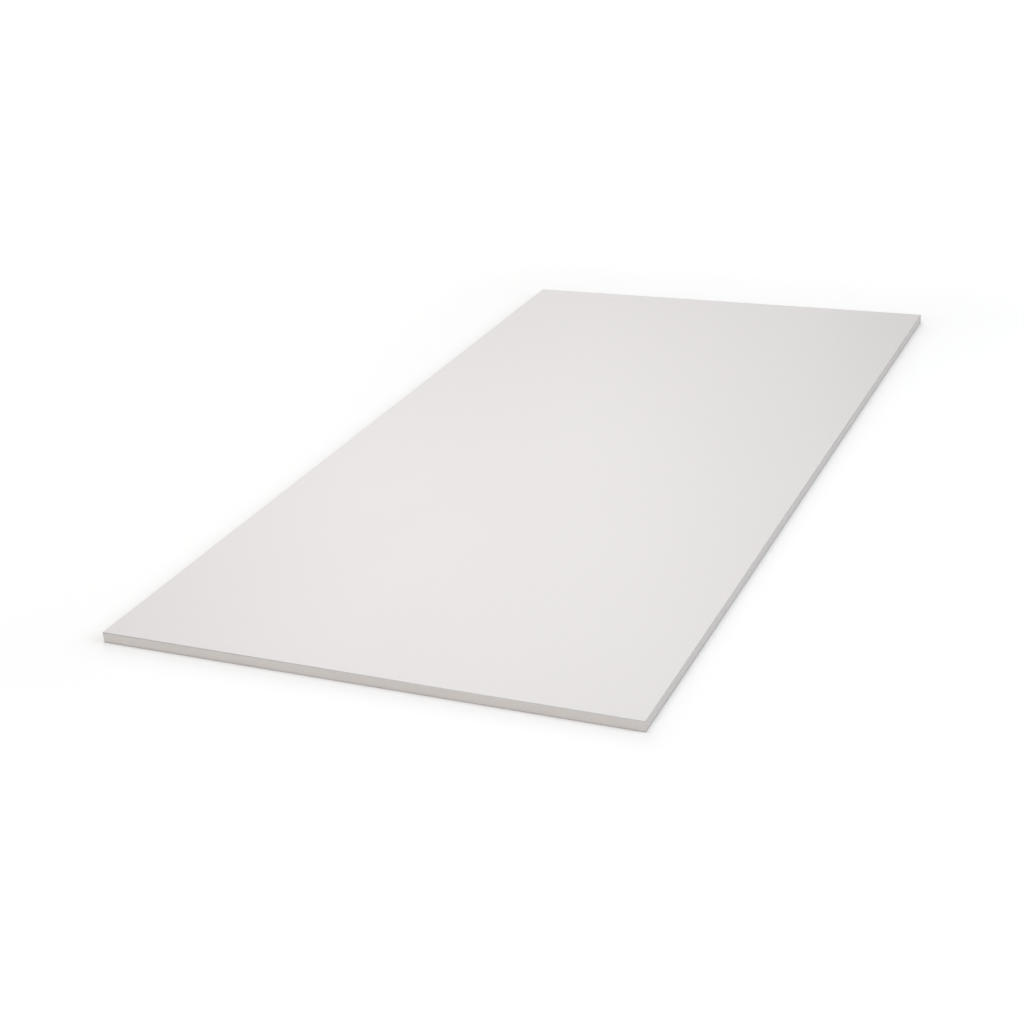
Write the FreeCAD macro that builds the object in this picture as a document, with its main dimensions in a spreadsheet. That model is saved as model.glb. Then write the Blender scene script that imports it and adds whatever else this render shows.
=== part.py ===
import FreeCAD, Part
import os

import Sketcher

# Aluminium composite panel, cut to size and lying flat with its coated front face up.
# It is three flat layers of one outline, bonded face to face: a thin aluminium back skin, a thick
# plastic core and a thin aluminium front skin. All four sides are sawn square through the layers, and
# the two outer arrises are deburred to a small radius.
#
# Frame, in millimetres: the origin is the centre of the underside, +X runs across the width, +Y along
# the length and +Z up, out of the front face.

DRIVING_SIZES = [
    ("panel_length", 600.0, "sawn length, along Y"),
    ("panel_width", 300.0, "sawn width, along X"),
    ("front_skin_thickness", 0.5, "coil-coated aluminium sheet on the front"),
    ("core_thickness", 5.0, "extruded core between the skins"),
    ("back_skin_thickness", 0.5, "aluminium sheet on the back"),
    ("arris_radius", 0.15, "deburred outer edge of each skin"),
]

SHEET = "Sizes"
OUTPUT_FOLDER = "parts"
LEVEL_TOLERANCE = 1e-6
LEAST_FILL = 0.99  # share of its full block that a deburred layer still fills


def add_sizes(doc):
    """The spreadsheet that drives every dimension: a name, a value with an alias, and a note."""
    sheet = doc.addObject("Spreadsheet::Sheet", SHEET)
    for row, (alias, value, note) in enumerate(DRIVING_SIZES, start=1):
        sheet.set(f"A{row}", alias.replace("_", " "))
        sheet.set(f"B{row}", str(value))
        sheet.setAlias(f"B{row}", alias)
        sheet.set(f"C{row}", note)
    doc.recompute()
    return sheet


def origin_plane(body, role):
    """One of the body's own origin planes."""
    return next(feature for feature in body.Origin.OriginFeatures if feature.Role == role)


def add_outline(body):
    """A sketch of the sawn outline: a rectangle centred on the origin."""
    sketch = body.newObject("Sketcher::SketchObject", f"{body.Label}_outline")
    sketch.AttachmentSupport = [(origin_plane(body, "XY_Plane"), "")]
    sketch.MapMode = "FlatFace"

    corners = [FreeCAD.Vector(x, y, 0) for x, y in ((-1, -1), (1, -1), (1, 1), (-1, 1))]
    for start, end in zip(corners, corners[1:] + corners[:1]):
        sketch.addGeometry(Part.LineSegment(start, end), False)
    front, right, back, left = range(4)

    for side, following in ((front, right), (right, back), (back, left), (left, front)):
        sketch.addConstraint(Sketcher.Constraint("Coincident", side, 2, following, 1))
    for side in (front, back):
        sketch.addConstraint(Sketcher.Constraint("Horizontal", side))
    for side in (right, left):
        sketch.addConstraint(Sketcher.Constraint("Vertical", side))
    sketch.addConstraint(Sketcher.Constraint("Symmetric", front, 1, right, 2, -1, 1))

    sizes = (("width", "DistanceX", front), ("length", "DistanceY", right))
    for name, kind, side in sizes:
        constraint = sketch.addConstraint(Sketcher.Constraint(kind, side, 1, side, 2, 2.0))
        sketch.renameConstraint(constraint, name)
        sketch.setExpression(f"Constraints.{name}", f"{SHEET}.panel_{name}")
    return sketch


def add_layer(doc, label, thickness, underside):
    """One full-size layer: the outline padded up from its underside. Both are expressions."""
    body = doc.addObject("PartDesign::Body", label)
    body.Label = label
    pad = body.newObject("PartDesign::Pad", f"{label}_pad")
    pad.Profile = add_outline(body)
    pad.setExpression("Length", thickness)
    body.Tip = pad
    body.setExpression("Placement.Base.z", underside)
    doc.recompute()
    return body


def level_face(shape, wanted):
    """Name of the flat level face at the shape's highest (max) or lowest (min) point."""
    names = {f"Face{i}": face.BoundBox for i, face in enumerate(shape.Faces, start=1)}
    level = {name: box.ZMin for name, box in names.items() if box.ZLength < LEVEL_TOLERANCE}
    return wanted(level, key=level.get)


def deburr(doc, skin, thickness, wanted):
    """Rounds the four arrises of a skin's outer face, by at most half the skin's thickness."""
    pad = skin.Tip
    fillet = skin.newObject("PartDesign::Fillet", f"{skin.Label}_arris")
    fillet.Base = (pad, [level_face(pad.Shape, wanted)])
    fillet.setExpression("Radius", f"min({SHEET}.arris_radius; {thickness} / 2)")
    skin.Tip = fillet
    doc.recompute()


def check(doc, bodies):
    """Stops on any failed object, and on any layer that isn't one valid solid of a sensible volume."""
    failed = [item.Label for item in doc.Objects if {"Invalid", "Error"} & set(item.State)]
    if failed:
        raise RuntimeError(f"failed objects: {failed}")
    sheet = doc.getObject(SHEET)
    outline = sheet.panel_length * sheet.panel_width
    for body in bodies:
        shape = body.Shape
        if shape.isNull() or not shape.isValid() or len(shape.Solids) != 1:
            raise RuntimeError(f"{body.Label} is not one valid solid")
        full = outline * sheet.get(f"{body.Label}_thickness")
        if not LEAST_FILL * full < shape.Volume <= full * (1 + LEVEL_TOLERANCE):
            raise RuntimeError(f"{body.Label} has {shape.Volume:.1f} mm3 of a block of {full:.1f} mm3")


def export(bodies):
    """Writes one STEP file for each layer, named after it."""
    os.makedirs(OUTPUT_FOLDER, exist_ok=True)
    for body in bodies:
        path = os.path.join(OUTPUT_FOLDER, f"{body.Label}.step")
        body.Shape.exportStep(path)
        box = body.Shape.BoundBox
        print(f"{path}: {box.XLength:.3f} x {box.YLength:.3f} x {box.ZLength:.3f} mm, from z {box.ZMin:.3f}")


def main():
    doc = FreeCAD.newDocument("AluminiumCompositePanel")
    add_sizes(doc)

    back = f"{SHEET}.back_skin_thickness"
    core = f"{SHEET}.core_thickness"
    front = f"{SHEET}.front_skin_thickness"
    back_skin = add_layer(doc, "back_skin", back, "0 mm")
    core_slab = add_layer(doc, "core", core, back)
    front_skin = add_layer(doc, "front_skin", front, f"{back} + {core}")

    deburr(doc, back_skin, back, min)
    deburr(doc, front_skin, front, max)

    bodies = [back_skin, core_slab, front_skin]
    doc.recompute()
    check(doc, bodies)
    export(bodies)


main()
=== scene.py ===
"""Finishes a flat aluminium composite panel: a coil-coated front sheet, a sawn plastic core and a
mill-finish back sheet, lying face up on a pale studio floor.

All sizes are in metres, in the frame's own axes: +X across the width, +Y along the length, +Z up out of
the coated face. Each layer keeps the box of its own node in the frame.
"""

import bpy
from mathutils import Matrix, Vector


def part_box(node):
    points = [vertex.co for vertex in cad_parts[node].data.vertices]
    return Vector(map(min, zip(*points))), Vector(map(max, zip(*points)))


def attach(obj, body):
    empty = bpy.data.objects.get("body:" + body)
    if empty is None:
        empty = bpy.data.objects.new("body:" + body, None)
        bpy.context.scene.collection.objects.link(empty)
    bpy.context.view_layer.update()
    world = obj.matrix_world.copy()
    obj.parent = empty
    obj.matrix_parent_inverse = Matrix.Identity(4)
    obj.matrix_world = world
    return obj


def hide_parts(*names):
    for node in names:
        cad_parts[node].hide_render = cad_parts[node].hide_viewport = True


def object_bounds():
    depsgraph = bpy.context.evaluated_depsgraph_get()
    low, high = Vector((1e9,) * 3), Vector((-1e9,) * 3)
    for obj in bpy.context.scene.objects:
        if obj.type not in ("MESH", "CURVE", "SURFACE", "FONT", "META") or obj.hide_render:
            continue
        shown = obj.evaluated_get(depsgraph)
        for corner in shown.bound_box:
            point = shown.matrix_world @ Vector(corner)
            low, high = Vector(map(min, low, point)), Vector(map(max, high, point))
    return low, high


bl_info = {
    "name": "Aluminium Composite Panel",
    "version": (1, 0, 0),
    "blender": (4, 5, 0),
    "location": "View3D > Sidebar > Composite Panel",
    "description": "Builds the three layers of a composite panel with their finishes, and a studio",
    "category": "Object",
}

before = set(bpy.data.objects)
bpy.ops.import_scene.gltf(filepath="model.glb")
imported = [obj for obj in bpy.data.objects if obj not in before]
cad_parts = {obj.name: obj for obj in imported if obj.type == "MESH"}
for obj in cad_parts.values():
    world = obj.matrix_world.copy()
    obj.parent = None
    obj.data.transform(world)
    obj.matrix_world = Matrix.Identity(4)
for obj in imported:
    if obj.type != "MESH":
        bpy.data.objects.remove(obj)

import math

import bmesh
import bpy
from bpy.props import FloatProperty, FloatVectorProperty, PointerProperty
from mathutils import Matrix, Vector, noise

BODY = "root"
CAD_LOW, CAD_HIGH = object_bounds()
WIDTH = CAD_HIGH.x - CAD_LOW.x
LENGTH = CAD_HIGH.y - CAD_LOW.y
CORE_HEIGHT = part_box("core")[1].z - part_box("core")[0].z
MM = 0.001
NEARLY = 0.01 * MM  # two places this near to each other count as one
LEVEL = 0.999  # least part of a face's normal along an axis for it to count as square to that axis
ARRIS_STEPS = 4  # faces round a deburred arris
CORE_ROWS = 12  # rows of faces up the core's sides
STEPS_PER_MARK = 5  # faces along the side to one saw mark
CAP_INSET = 8 * MM  # from the core's outline to the plain middle of its top and bottom
PAINTED_CONTACT_SHADOW = 0.04  # painted contact shadow: how much weaker the floor's glow is right beside the panel
SHADE_REACH = 25 * MM  # from the panel's outline to where that has faded out
GLOW_REACH = 0.8  # from the panel's outline to where the floor's glow is at its strongest
FAR_GLOW = 1.0  # that strength
AIM_ACROSS = -0.0265  # where the camera aims, as a share of the width
AIM_ALONG = -0.1509  # and of the length, from the middle

WHITE = (1.0, 1.0, 1.0)
COOL_WHITE = (0.91, 1.02, 1.14)
# name, azimuth and elevation in degrees, distance, side, power in watts, and a colour where it isn't white
SOFT_BOXES = (
    ("ceiling_box", 0.0, 90.0, 1.8, 1.6, 4.50),
    ("far_wide_box", -150.0, 30.0, 1.8, 1.4, 3.62),
    ("far_small_box", -152.0, 24.5, 1.8, 0.5, 0.39),
    ("far_high_box", -150.0, 38.0, 1.6, 0.8, 1.99),
    ("far_end_box", -168.0, 25.0, 1.8, 0.7, 0.32),
    ("far_left_box", -136.0, 27.0, 1.8, 0.7, 0.50),
    ("near_low_box", 5.0, 12.0, 1.8, 0.8, 5.93),
    ("right_box", 90.0, 35.0, 1.8, 1.0, 8.40, COOL_WHITE),
)
OVERHEAD_BOX = ("overhead_box", -30.0, 80.0, 0.9, 0.5, 1.56)
OVERHEAD_AIM = (-0.1, -0.2)  # what it hangs over, as shares of the width and the length


# ---------------------------------------------------------------- settings


class FrontSheetSettings(bpy.types.PropertyGroup):
    arris_radius: FloatProperty(
        name="Arris radius",
        description="Radius that the deburring tool leaves on the outer edge of a sheet",
        default=0.15 * MM, min=0.01 * MM, unit="LENGTH", precision=5,
    )
    coat_colour: FloatVectorProperty(
        name="Coat colour",
        description="Stoved off-white coat on the front face",
        subtype="COLOR", size=3, default=(0.765, 0.722, 0.704), min=0.0, max=1.0,
    )
    cut_colour: FloatVectorProperty(
        name="Cut edge colour",
        description="Bare aluminium where the saw went through a sheet",
        subtype="COLOR", size=3, default=(0.60, 0.59, 0.58), min=0.0, max=1.0,
    )
    shade_drift: FloatProperty(
        name="Shade drift",
        description="Share by which the coat's shade changes from place to place",
        default=0.012, min=0.0, max=0.2,
    )
    roughness: FloatProperty(
        name="Coat roughness", description="Middle roughness of the coat", default=0.34, min=0.0, max=1.0,
    )
    peel_size: FloatProperty(
        name="Peel size",
        description="Width of one swell of the coat's orange peel",
        default=2.4 * MM, min=0.2 * MM, unit="LENGTH", precision=5,
    )
    peel_height: FloatProperty(
        name="Peel height",
        description="Height of the coat's orange peel",
        default=0.006 * MM, min=0.0, unit="LENGTH", precision=6,
    )


class CoreSettings(bpy.types.PropertyGroup):
    colour: FloatVectorProperty(
        name="Core colour",
        description="Filled polyethylene of the core",
        subtype="COLOR", size=3, default=(0.612, 0.573, 0.549), min=0.0, max=1.0,
    )
    saw_pitch: FloatProperty(
        name="Saw pitch",
        description="Distance between two marks of the saw blade",
        default=1.2 * MM, min=0.2 * MM, unit="LENGTH", precision=5,
    )
    saw_depth: FloatProperty(
        name="Saw depth",
        description="Depth of a saw mark in the core",
        default=0.02 * MM, min=0.0, unit="LENGTH", precision=6,
    )
    saw_lean: FloatProperty(
        name="Saw lean",
        description="Lean of the saw marks away from upright",
        default=math.radians(12.0), subtype="ANGLE",
    )
    recess: FloatProperty(
        name="Core recess",
        description="How far the plastic draws back from the cut ends of the sheets",
        default=0.03 * MM, min=0.0, unit="LENGTH", precision=6,
    )
    bond_line: FloatProperty(
        name="Bond line",
        description="Height of the groove along each bonding film",
        default=0.06 * MM, min=0.01 * MM, unit="LENGTH", precision=6,
    )


class BackSheetSettings(bpy.types.PropertyGroup):
    metal_colour: FloatVectorProperty(
        name="Mill colour",
        description="Aluminium as it leaves the rolls",
        subtype="COLOR", size=3, default=(0.72, 0.73, 0.74), min=0.0, max=1.0,
    )
    line_spacing: FloatProperty(
        name="Rolling line spacing",
        description="Distance between the fine lines that the rolls leave along the length",
        default=0.9 * MM, min=0.1 * MM, unit="LENGTH", precision=5,
    )
    line_height: FloatProperty(
        name="Rolling line height",
        description="Height of the rolling lines",
        default=0.004 * MM, min=0.0, unit="LENGTH", precision=6,
    )


class StageSettings(bpy.types.PropertyGroup):
    floor_size: FloatProperty(
        name="Floor size", description="Side of the studio floor", default=24.0, unit="LENGTH",
    )
    floor_colour: FloatVectorProperty(
        name="Floor colour", description="Pale studio floor",
        subtype="COLOR", size=3, default=(0.98, 0.965, 0.95), min=0.0, max=1.0,
    )
    floor_glow: FloatProperty(
        name="Floor glow", description="Light that the lit-through floor gives by itself near the panel",
        default=0.10, min=0.0,
    )
    sky: FloatProperty(
        name="Surroundings", description="Strength of the even white surroundings", default=0.39, min=0.0,
    )
    lens: FloatProperty(name="Lens", description="Focal length on a 36 mm sensor", default=63.5)
    azimuth: FloatProperty(
        name="Azimuth", description="Camera's turn to the right of the panel's near end",
        default=math.radians(25.09), subtype="ANGLE",
    )
    elevation: FloatProperty(
        name="Elevation", description="Camera's height above the floor, as an angle",
        default=math.radians(24.21), subtype="ANGLE",
    )
    roll: FloatProperty(
        name="Roll", description="Camera's turn about its own line of sight",
        default=math.radians(-4.01), subtype="ANGLE",
    )
    distance: FloatProperty(
        name="Distance", description="From the camera to the point it is aimed at",
        default=3.542 * WIDTH, unit="LENGTH",
    )


# ---------------------------------------------------------------- modelling


def slab(low, high):
    """A closed block between two corners."""
    bm = bmesh.new()
    bmesh.ops.create_cube(bm, size=1.0)
    bmesh.ops.scale(bm, vec=high - low, verts=bm.verts)
    bmesh.ops.translate(bm, vec=(low + high) / 2, verts=bm.verts)
    return bm


def edges_along(bm, axis):
    """The edges that run along one axis."""
    return [e for e in bm.edges if abs((e.verts[0].co - e.verts[1].co).normalized()[axis]) > LEVEL]


def rim(bm, height):
    """The edges that lie at one height."""
    return [e for e in bm.edges if all(abs(v.co.z - height) < NEARLY for v in e.verts)]


def deburred_sheet(low, high, outer, radius):
    """A sheet whose four edges at the height `outer` are rounded, the other four left sharp."""
    bm = slab(low, high)
    bmesh.ops.bevel(
        bm, geom=rim(bm, outer), offset=radius, offset_type="OFFSET", affect="EDGES",
        segments=ARRIS_STEPS, profile=0.5, material=-1, clamp_overlap=True,
    )
    for face in bm.faces:
        face.smooth = max(abs(c) for c in face.normal) < LEVEL
        face.material_index = 0 if abs(face.normal.z) > LEVEL else 1
    return bm


def core_walls(low, high, core):
    """The four sawn sides of the core as one fine ring of faces, open at the top and bottom."""
    bm = slab(low, high)
    level = [f for f in bm.faces if abs(f.normal.z) > LEVEL]
    bmesh.ops.delete(bm, geom=level, context="FACES_ONLY")
    bmesh.ops.subdivide_edges(bm, edges=edges_along(bm, 2), cuts=CORE_ROWS - 1, use_grid_fill=True)
    step = core.saw_pitch / STEPS_PER_MARK
    for axis in (0, 1):
        cuts = round((high - low)[axis] / step) - 1
        bmesh.ops.subdivide_edges(bm, edges=edges_along(bm, axis), cuts=cuts, use_grid_fill=True)
    return bm


def row_height(row, height, lip):
    """Height of a row of the core's side: two close rows at each bonding film, the rest even."""
    near = min(row, CORE_ROWS - row)
    even = (height - 4 * lip) / (CORE_ROWS - 4)
    up = near * lip if near <= 2 else 2 * lip + (near - 2) * even
    return up if row <= CORE_ROWS / 2 else height - up


def saw_mark(along, up, core):
    """How deep the saw has cut at a place on a side, from 0 to the saw depth."""
    leaning = along + up * math.tan(core.saw_lean)
    wander = noise.noise(Vector((leaning / (9.0 * core.saw_pitch), up / CORE_HEIGHT, 0.0)))
    tooth = 0.5 + 0.5 * math.cos(2 * math.pi * (leaning / core.saw_pitch + 0.35 * wander))
    strength = 0.55 + 0.45 * noise.noise(Vector((leaning / (4.0 * core.saw_pitch), 5.0, up / CORE_HEIGHT)))
    tremble = 0.5 + 0.5 * noise.noise(Vector((leaning / (0.7 * core.saw_pitch), 9.0, 0.0)))
    return core.saw_depth * (0.7 * strength * tooth + 0.3 * tremble)


def saw_the_sides(bm, low, high, core):
    """Draws the core's sides in from their box: a recess, the bond grooves and the saw marks."""
    height = high.z - low.z
    for v in bm.verts:
        row = round((v.co.z - low.z) / height * CORE_ROWS)
        up = row_height(row, height, core.bond_line)
        groove = core.recess if min(row, CORE_ROWS - row) < 2 else 0.0
        fade = min(1.0, min(up, height - up) / (4 * core.bond_line))  # marks run out at the films
        for axis in (0, 1):
            side = -1 if abs(v.co[axis] - low[axis]) < NEARLY else 1
            if abs(v.co[axis] - (low if side < 0 else high)[axis]) < NEARLY:
                along = v.co[1 - axis] + (2 * side + axis) * LENGTH  # no two sides alike
                v.co[axis] -= side * (core.recess + groove + fade * saw_mark(along, up, core))
        v.co.z = low.z + up


def close_level_sides(bm, low, high):
    """Fills the core's top and bottom, which lie against the two sheets."""
    for level in (low.z, high.z):
        outline = rim(bm, level)
        inset = Vector((CAP_INSET, CAP_INSET, 0.0))
        inner_low = Vector((low.x, low.y, level)) + inset
        inner_high = Vector((high.x, high.y, level)) - inset
        ring = bmesh.ops.create_circle(bm, segments=4, radius=1.0)["verts"]
        corners = [(0, 0), (1, 0), (1, 1), (0, 1)]
        for vert, (right, far) in zip(ring, corners):
            vert.co = Vector((
                inner_high.x if right else inner_low.x, inner_high.y if far else inner_low.y, level,
            ))
        inner = [e for e in bm.edges if e.verts[0] in ring and e.verts[1] in ring]
        bmesh.ops.triangle_fill(bm, edges=outline + inner, use_beauty=True)
        bmesh.ops.contextual_create(bm, geom=inner)


def put_in_scene(bm, name, materials):
    """Turns the finished bmesh into an object at the origin that wears these materials."""
    mesh = bpy.data.meshes.new(name)
    bm.to_mesh(mesh)
    bm.free()
    for material in materials:
        mesh.materials.append(material)
    piece = bpy.data.objects.new(name, mesh)
    bpy.context.scene.collection.objects.link(piece)
    return piece


def hang_on_frame(piece, node):
    """Makes a piece stand for its node of the frame."""
    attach(piece, BODY)
    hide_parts(node)


# ---------------------------------------------------------------- materials


class Surface:
    """A material with one Principled shader, and short ways to add the nodes that feed it."""

    def __init__(self, name):
        self.material = bpy.data.materials.new(name)
        self.material.use_nodes = True
        self.tree = self.material.node_tree
        self.shader = self.tree.nodes["Principled BSDF"]
        self.place = self.tree.nodes.new("ShaderNodeTexCoord").outputs["Object"]

    def link(self, source, target):
        self.tree.links.new(source, target)

    def stretched(self, size):
        """Object coordinates divided by a size on each axis, in metres."""
        node = self.tree.nodes.new("ShaderNodeMapping")
        node.inputs["Scale"].default_value = [1.0 / s for s in size]
        self.link(self.place, node.inputs["Vector"])
        return node.outputs["Vector"]

    def noise(self, size, detail=2.0, roughness=0.5, vector=None):
        """Noise from 0 to 1 whose swells measure about `size` metres on each axis."""
        node = self.tree.nodes.new("ShaderNodeTexNoise")
        node.inputs["Scale"].default_value = 1.0
        node.inputs["Detail"].default_value = detail
        node.inputs["Roughness"].default_value = roughness
        self.link(vector or self.stretched(size), node.inputs["Vector"])
        return node.outputs["Fac"]

    def math(self, operation, first, second=0.0):
        """A Math node on two values or links."""
        node = self.tree.nodes.new("ShaderNodeMath")
        node.operation = operation
        for socket, value in zip(node.inputs, (first, second)):
            if isinstance(value, (int, float)):
                socket.default_value = value
            else:
                self.link(value, socket)
        return node.outputs["Value"]

    def axes(self):
        """The three Object coordinates as single values."""
        node = self.tree.nodes.new("ShaderNodeSeparateXYZ")
        self.link(self.place, node.inputs["Vector"])
        return node.outputs["X"], node.outputs["Y"], node.outputs["Z"]

    def joined(self, x, y, z):
        """Three values as one vector."""
        node = self.tree.nodes.new("ShaderNodeCombineXYZ")
        for socket, value in zip(node.inputs, (x, y, z)):
            self.link(value, socket)
        return node.outputs["Vector"]

    def remap(self, value, low, high, start=0.3, end=0.7):
        """Carries start..end to low..high, smoothly and held at both ends."""
        node = self.tree.nodes.new("ShaderNodeMapRange")
        node.interpolation_type = "SMOOTHSTEP"
        for name, number in zip(("From Min", "From Max", "To Min", "To Max"), (start, end, low, high)):
            node.inputs[name].default_value = number
        self.link(value, node.inputs["Value"])
        return node.outputs["Result"]

    def blend(self, share, first, second):
        """A colour between two colours or links."""
        node = self.tree.nodes.new("ShaderNodeMix")
        node.data_type = "RGBA"
        self.link(share, node.inputs["Factor"])
        sockets = [s for s in node.inputs if s.type == "RGBA"]
        for socket, colour in zip(sockets, (first, second)):
            if isinstance(colour, bpy.types.NodeSocket):
                self.link(colour, socket)
            else:
                socket.default_value = (*colour, 1.0)
        return [s for s in node.outputs if s.type == "RGBA"][0]

    def bump(self, height, distance, below=None):
        """Relief of this height in metres, laid over another relief if one is given."""
        node = self.tree.nodes.new("ShaderNodeBump")
        node.inputs["Distance"].default_value = distance
        self.link(height, node.inputs["Height"])
        if below is not None:
            self.link(below, node.inputs["Normal"])
        return node.outputs["Normal"]

    def finish(self, colour, roughness, normal, **plain):
        """Feeds the shader, and sets its plain sockets by name."""
        for name, source in (("Base Color", colour), ("Roughness", roughness), ("Normal", normal)):
            self.link(source, self.shader.inputs[name])
        for name, value in plain.items():
            self.shader.inputs[name.replace("_", " ")].default_value = value
        return self.material


def scaled(colour, share):
    """A colour made lighter or darker by a share."""
    return tuple(min(1.0, c * share) for c in colour)


def coat_material(front):
    """Stoved coil coat: off-white and even, a little orange peel, faint lines along the coil."""
    s = Surface("coil_coat")
    cloud = s.noise((90 * MM, 140 * MM, 90 * MM), detail=3.0)
    roller = s.noise((3 * MM, 420 * MM, 3 * MM), detail=2.0)
    drift = s.math("ADD", s.math("MULTIPLY", cloud, 0.7), s.math("MULTIPLY", roller, 0.3))
    shade = scaled(front.coat_colour, 1 - front.shade_drift)
    colour = s.blend(s.remap(drift, 0.0, 1.0), shade, scaled(front.coat_colour, 1 + front.shade_drift))
    gloss = s.remap(drift, front.roughness - 0.03, front.roughness + 0.03)
    peel = s.noise((front.peel_size,) * 3, detail=1.0)
    normal = s.bump(peel, front.peel_height, s.bump(roller, 0.5 * front.peel_height))
    return s.finish(colour, gloss, normal)


def cut_aluminium_material(front):
    """Sawn and deburred edge of a sheet: grey metal with upright saw scratches."""
    s = Surface("cut_aluminium")
    x, y, z = s.axes()
    along = s.math("MULTIPLY", s.math("ADD", x, y), 1 / (0.25 * MM))
    up = s.math("MULTIPLY", z, 1 / (2.0 * MM))
    scratch = s.noise(None, detail=3.0, vector=s.joined(along, up, up))
    smear = s.noise((6 * MM, 6 * MM, 1 * MM), detail=2.0)
    tone = s.math("ADD", s.math("MULTIPLY", scratch, 0.6), s.math("MULTIPLY", smear, 0.4))
    light, dark = scaled(front.cut_colour, 1.05), scaled(front.cut_colour, 0.93)
    colour = s.blend(s.remap(tone, 0.0, 1.0), dark, light)
    return s.finish(colour, s.remap(tone, 0.40, 0.56), s.bump(scratch, 0.008 * MM), Metallic=1.0)


def core_material(core, low, high):
    """Sawn filled polyethylene: warm grey, finely mottled, with a darker bonding film top and bottom."""
    s = Surface("sawn_polyethylene")
    x, y, z = s.axes()
    grain = s.noise((0.6 * MM,) * 3, detail=3.0)
    cloud = s.noise((35 * MM, 35 * MM, 4 * MM), detail=2.0)
    along = s.math("MULTIPLY", s.math("ADD", x, y), 1 / (0.4 * MM))
    up = s.math("MULTIPLY", z, 1 / (3.0 * MM))
    drag = s.noise(None, detail=2.0, vector=s.joined(along, up, up))
    tone = s.math("ADD", s.math("MULTIPLY", grain, 0.3), s.math("MULTIPLY", cloud, 0.4))
    tone = s.math("ADD", tone, s.math("MULTIPLY", drag, 0.3))
    plastic = s.blend(s.remap(tone, 0.0, 1.0), scaled(core.colour, 0.965), scaled(core.colour, 1.03))
    from_low = s.math("SUBTRACT", z, low.z)
    from_high = s.math("SUBTRACT", high.z, z)
    film = s.remap(s.math("MINIMUM", from_low, from_high), 1.0, 0.0, 0.5 * core.bond_line, core.bond_line)
    colour = s.blend(film, plastic, scaled(core.colour, 0.72))
    return s.finish(colour, s.remap(tone, 0.52, 0.68), s.bump(drag, 0.01 * MM, s.bump(grain, 0.006 * MM)))


def mill_material(back):
    """Mill finish: bare metal with fine rolling lines along the length and soft bands of gloss."""
    s = Surface("mill_finish")
    lines = s.noise((back.line_spacing, 160 * MM, back.line_spacing), detail=4.0, roughness=0.6)
    bands = s.noise((26 * MM, 700 * MM, 26 * MM), detail=2.0)
    cloud = s.noise((70 * MM,) * 3, detail=3.0)
    tone = s.math("ADD", s.math("MULTIPLY", lines, 0.45), s.math("MULTIPLY", bands, 0.35))
    tone = s.math("ADD", tone, s.math("MULTIPLY", cloud, 0.2))
    light, dark = scaled(back.metal_colour, 1.05), scaled(back.metal_colour, 0.9)
    colour = s.blend(s.remap(tone, 0.0, 1.0), dark, light)
    return s.finish(colour, s.remap(tone, 0.42, 0.26), s.bump(lines, back.line_height), Metallic=1.0)


def floor_material(stage):
    """Pale floor that glows by itself: weakest beside the panel, where the dip is a painted contact shadow,
    and more strongly away from it.
    """
    s = Surface("studio_floor")
    x, y, _ = s.axes()
    out_x = s.math("MAXIMUM", s.math("SUBTRACT", s.math("ABSOLUTE", x), WIDTH / 2), 0.0)
    out_y = s.math("MAXIMUM", s.math("SUBTRACT", s.math("ABSOLUTE", y), LENGTH / 2), 0.0)
    out = s.math("SQRT", s.math("ADD", s.math("MULTIPLY", out_x, out_x), s.math("MULTIPLY", out_y, out_y)))
    # painted contact shadow: the floor's glow dims right beside the panel's outline
    painted_shadow_glow = s.remap(out, stage.floor_glow - PAINTED_CONTACT_SHADOW, stage.floor_glow, 0.0, SHADE_REACH)
    beyond = s.remap(out, 0.0, FAR_GLOW - stage.floor_glow, 0.0, GLOW_REACH)
    s.link(s.math("ADD", painted_shadow_glow, beyond), s.shader.inputs["Emission Strength"])
    s.shader.inputs["Emission Color"].default_value = (1.0, 1.0, 1.0, 1.0)
    s.shader.inputs["Base Color"].default_value = (*stage.floor_colour, 1.0)
    s.shader.inputs["Roughness"].default_value = 1.0
    s.shader.inputs["Specular IOR Level"].default_value = 0.0
    return s.material


# ---------------------------------------------------------------- studio


def add_floor(stage):
    """A wide floor, level with the panel's underside."""
    bm = bmesh.new()
    bmesh.ops.create_grid(bm, x_segments=1, y_segments=1, size=stage.floor_size / 2)
    bmesh.ops.translate(bm, vec=(0.0, 0.0, CAD_LOW.z), verts=bm.verts)
    floor = put_in_scene(bm, "studio_floor", [floor_material(stage)])


def direction(azimuth, elevation):
    """Unit vector from the panel towards a place on the sky; azimuth 0 is in front of the near end."""
    flat = math.cos(elevation)
    return Vector((math.sin(azimuth) * flat, -math.cos(azimuth) * flat, math.sin(elevation)))


def add_camera(stage):
    """Camera that looks down the length of the panel from its right."""
    data = bpy.data.cameras.new("camera")
    data.sensor_width = 36.0
    data.lens = stage.lens
    camera = bpy.data.objects.new("camera", data)
    bpy.context.scene.collection.objects.link(camera)
    aim = Vector((AIM_ACROSS * WIDTH, AIM_ALONG * LENGTH, CAD_LOW.z))
    back = direction(stage.azimuth, stage.elevation)
    camera.location = aim + back * stage.distance
    facing = (-back).to_track_quat("-Z", "Y").to_matrix()
    camera.rotation_euler = (facing @ Matrix.Rotation(stage.roll, 3, "Z")).to_euler()
    bpy.context.scene.camera = camera


def add_soft_box(name, azimuth, elevation, distance, side, power, colour=WHITE, aim=(0.0, 0.0, 0.0)):
    """A square soft box on the sky round the panel, turned to face it."""
    data = bpy.data.lights.new(name, "AREA")
    data.shape = "SQUARE"
    data.size = side
    data.energy = power
    data.color = colour
    box = bpy.data.objects.new(name, data)
    bpy.context.scene.collection.objects.link(box)
    away = direction(math.radians(azimuth), math.radians(elevation))
    box.location = Vector(aim) + away * distance
    box.rotation_euler = (-away).to_track_quat("-Z", "Y").to_euler()


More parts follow.
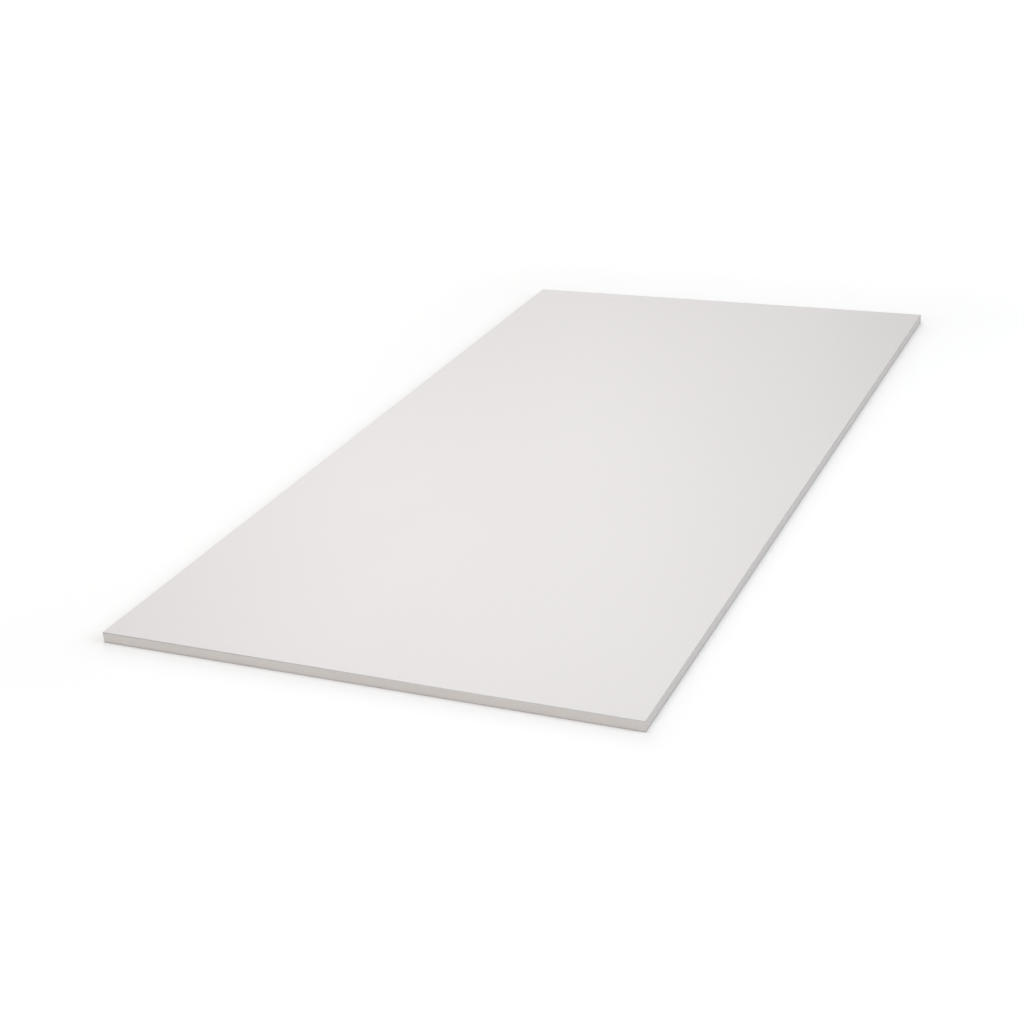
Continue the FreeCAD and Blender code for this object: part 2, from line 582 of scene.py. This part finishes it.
def add_sky(strength):
    """Even white surroundings."""
    world = bpy.data.worlds.new("studio_surroundings")
    world.use_nodes = True
    background = world.node_tree.nodes["Background"]
    background.inputs["Color"].default_value = (1.0, 1.0, 1.0, 1.0)
    background.inputs["Strength"].default_value = strength
    bpy.context.scene.world = world


# ---------------------------------------------------------------- operators


class COMPOSITE_PANEL_OT_front_sheet(bpy.types.Operator):
    """Adds the coated front sheet"""

    bl_idname = "composite_panel.front_sheet"
    bl_label = "Coated Front Sheet"

    def execute(self, context):
        front = context.scene.panel_front
        low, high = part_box("front_skin")
        bm = deburred_sheet(low, high, high.z, front.arris_radius)
        materials = [coat_material(front), cut_aluminium_material(front)]
        piece = put_in_scene(bm, "coated_front_sheet", materials)
        hang_on_frame(piece, "front_skin")
        return {"FINISHED"}


class COMPOSITE_PANEL_OT_core(bpy.types.Operator):
    """Adds the plastic core with its sawn sides"""

    bl_idname = "composite_panel.core"
    bl_label = "Sawn Core"

    def execute(self, context):
        core = context.scene.panel_core
        low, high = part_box("core")
        bm = core_walls(low, high, core)
        saw_the_sides(bm, low, high, core)
        for face in bm.faces:
            face.smooth = True
        close_level_sides(bm, low, high)
        bmesh.ops.recalc_face_normals(bm, faces=bm.faces)
        piece = put_in_scene(bm, "sawn_core", [core_material(core, low, high)])
        hang_on_frame(piece, "core")
        return {"FINISHED"}


class COMPOSITE_PANEL_OT_back_sheet(bpy.types.Operator):
    """Adds the mill-finish back sheet"""

    bl_idname = "composite_panel.back_sheet"
    bl_label = "Mill-Finish Back Sheet"

    def execute(self, context):
        scene = context.scene
        low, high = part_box("back_skin")  # its edges are cut and deburred with the front sheet's
        bm = deburred_sheet(low, high, low.z, scene.panel_front.arris_radius)
        materials = [mill_material(scene.panel_back), cut_aluminium_material(scene.panel_front)]
        piece = put_in_scene(bm, "mill_back_sheet", materials)
        hang_on_frame(piece, "back_skin")
        return {"FINISHED"}


class COMPOSITE_PANEL_OT_stage(bpy.types.Operator):
    """Adds the floor, the lights and the camera"""

    bl_idname = "composite_panel.stage"
    bl_label = "Studio"

    def execute(self, context):
        stage = context.scene.panel_stage
        add_floor(stage)
        add_sky(stage.sky)
        for box in SOFT_BOXES:
            add_soft_box(*box)
        across, along = OVERHEAD_AIM
        add_soft_box(*OVERHEAD_BOX, aim=(across * WIDTH, along * LENGTH, 0.0))
        add_camera(stage)
        context.scene.view_settings.view_transform = "Standard"
        return {"FINISHED"}


class COMPOSITE_PANEL_PT_sidebar(bpy.types.Panel):
    """Lists the pieces and their settings"""

    bl_label = "Composite Panel"
    bl_idname = "COMPOSITE_PANEL_PT_sidebar"
    bl_space_type = "VIEW_3D"
    bl_region_type = "UI"
    bl_category = "Composite Panel"

    def draw(self, context):
        for operator, settings in BUILD_ORDER:
            box = self.layout.box()
            box.operator(operator.bl_idname)
            group = getattr(context.scene, settings)
            for name in group.__annotations__:
                box.prop(group, name)


BUILD_ORDER = (
    (COMPOSITE_PANEL_OT_core, "panel_core"),
    (COMPOSITE_PANEL_OT_back_sheet, "panel_back"),
    (COMPOSITE_PANEL_OT_front_sheet, "panel_front"),
    (COMPOSITE_PANEL_OT_stage, "panel_stage"),
)
SETTINGS = {
    "panel_front": FrontSheetSettings,
    "panel_core": CoreSettings,
    "panel_back": BackSheetSettings,
    "panel_stage": StageSettings,
}


def register():
    for name, group in SETTINGS.items():
        bpy.utils.register_class(group)
        setattr(bpy.types.Scene, name, PointerProperty(type=group))
    for operator, _ in BUILD_ORDER:
        bpy.utils.register_class(operator)
    bpy.utils.register_class(COMPOSITE_PANEL_PT_sidebar)


def unregister():
    bpy.utils.unregister_class(COMPOSITE_PANEL_PT_sidebar)
    for operator, _ in reversed(BUILD_ORDER):
        bpy.utils.unregister_class(operator)
    for name, group in SETTINGS.items():
        delattr(bpy.types.Scene, name)
        bpy.utils.unregister_class(group)


def main():
    register()
    for operator, _ in BUILD_ORDER:
        group, name = operator.bl_idname.split(".")
        getattr(getattr(bpy.ops, group), name)()


if __name__ == "__main__":
    main()
